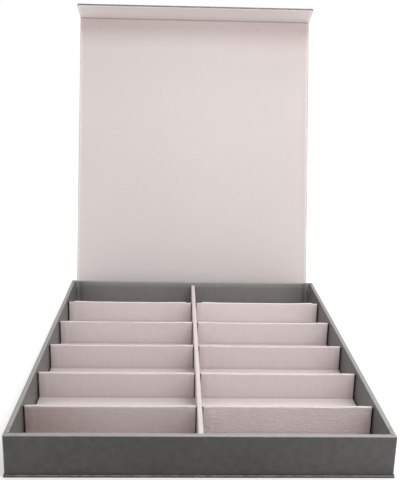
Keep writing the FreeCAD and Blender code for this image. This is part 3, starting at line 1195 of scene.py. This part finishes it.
def bridge_hinges():
    """The skin and the lining across each of the three hinges."""
    skin_face = outer_face + skin_thickness
    skin = (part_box("spine_cover")[1].x, outer_face, skin_face,
            hinge_press, fold_painted_shade, grey_leatherette, "grey_leatherette")
    lining = (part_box("spine_lining")[1].x, skin_face, skin_face + lining_thickness,
              crease_press, crease_painted_shade, cover_lining, "pink_leatherette")
    hinges = (
        ("base_hinge", ("tray", "spine"), placed(spine_pivot, 0.0), 0.0),
        ("lid_hinge", ("spine", "lid"), placed(lid_pivot, 0.0), lid_fold),
        ("flap_hinge", ("lid", "flap"), placed(flap_pivot, lid_fold), flap_fold),
    )
    for name, bodies, place, fold in hinges:
        hinge_strip(name + "_strip", name + "_skin", place, fold, skin)
        hinge_strip(name + "_lining_strip", name + "_lining", place, fold, lining)


# What the wraps hide

def finish_hidden_nodes():
    """Gives the boards and magnets inside the wraps their own finishes."""
    for name, node in frame["nodes"].items():
        if "board" in name or "card" in name:
            finish = board_finish
        elif "magnet" in name:
            finish = magnet_finish
        else:
            continue
        for material_slot in node.material_slots:
            material_slot.material = finish


# Studio

def lay_floor():
    """The pale floor under the box."""
    mesh = bmesh.new()
    bmesh.ops.create_circle(mesh, cap_ends=True, segments=96, radius=floor_radius)
    data = bpy.data.meshes.new("studio_floor")
    mesh.to_mesh(data)
    mesh.free()
    data.materials.append(studio_paper("studio_paper"))
    set_out("studio_floor", data)


def hang_softbox(name, place, aim, size, power):
    """A square softbox at a place, aimed at the box and hidden from the camera."""
    lamp = bpy.data.lights.new(name, "AREA")
    lamp.shape = "SQUARE"
    lamp.size = size
    lamp.energy = power
    hung = set_out(name, lamp)
    hung.location = place
    hung.rotation_euler = (Vector(aim) - Vector(place)).to_track_quat("-Z", "Y").to_euler()
    hung.visible_camera = False


def set_light():
    """Soft light from all round, a low window in front and softboxes above, right and behind."""
    world = bpy.data.worlds.new("soft_studio")
    bpy.context.scene.world = world
    world.use_nodes = True
    tree = world.node_tree
    ambient = tree.nodes["Background"]
    backdrop = tree.nodes.new("ShaderNodeBackground")
    for light, strength in ((ambient, ambient_strength), (backdrop, backdrop_strength)):
        light.inputs["Color"].default_value = (1.0, 1.0, 1.0, 1.0)
        light.inputs["Strength"].default_value = strength
    mix = tree.nodes.new("ShaderNodeMixShader")
    path = tree.nodes.new("ShaderNodeLightPath")
    tree.links.new(path.outputs["Is Camera Ray"], mix.inputs[0])
    tree.links.new(ambient.outputs[0], mix.inputs[1])
    tree.links.new(backdrop.outputs[0], mix.inputs[2])
    tree.links.new(mix.outputs[0], tree.nodes["World Output"].inputs["Surface"])
    window = bpy.data.lights.new("front_window", "SUN")
    window.energy = window_strength
    window.angle = window_softness
    set_out("front_window", window).rotation_euler = Euler((window_tilt, 0, 0))
    hang_softbox("middle_softbox", place=(0.25, -0.3, 0.7), aim=(0.05, 0.15, 0.03),
                 size=0.4, power=1.75)
    hang_softbox("right_softbox", place=(0.42, -0.45, 0.4), aim=(0.1, -0.05, 0.03),
                 size=0.35, power=0.65)
    hang_softbox("back_softbox", place=(0.2, 0.5, 1.1), aim=(0, 0, 0.1), size=0.6, power=7.0)


def set_camera():
    """The camera at the photograph's viewing point."""
    data = bpy.data.cameras.new("photo_camera")
    data.lens = camera_lens
    data.sensor_width = camera_sensor_width
    camera = set_out("photo_camera", data)
    turn = Euler((math.pi / 2 - camera_pitch, 0, camera_yaw)).to_matrix()
    turn = turn @ Matrix.Rotation(camera_roll, 3, "Z")
    camera.matrix_world = Matrix.Translation(camera_place) @ turn.to_4x4()
    bpy.context.scene.camera = camera
    bpy.context.scene.view_settings.view_transform = "Standard"


wrap_tray()
overlap_tray()
pad_floor("floor_foam_sheet", "floor_foam", foam_crown, foam_finish)
pad_floor("floor_pad", "floor_lining", pad_crown, tray_lining)
stand_divider()
for column_name, column_seed in (("left", 1.0), ("right", 2.0)):
    for row_number in row_numbers:
        stand_partition(column_name, row_number, column_seed + 0.37 * row_number)
    tape_partition_ends(column_name)
cover_base()
for panel, is_last, panel_seed in panels:
    cover_panel(panel, is_last, panel_seed)
for panel, is_last, _ in panels:
    line_panel(panel, is_last)
bridge_hinges()
finish_hidden_nodes()
lay_floor()
set_light()
set_camera()
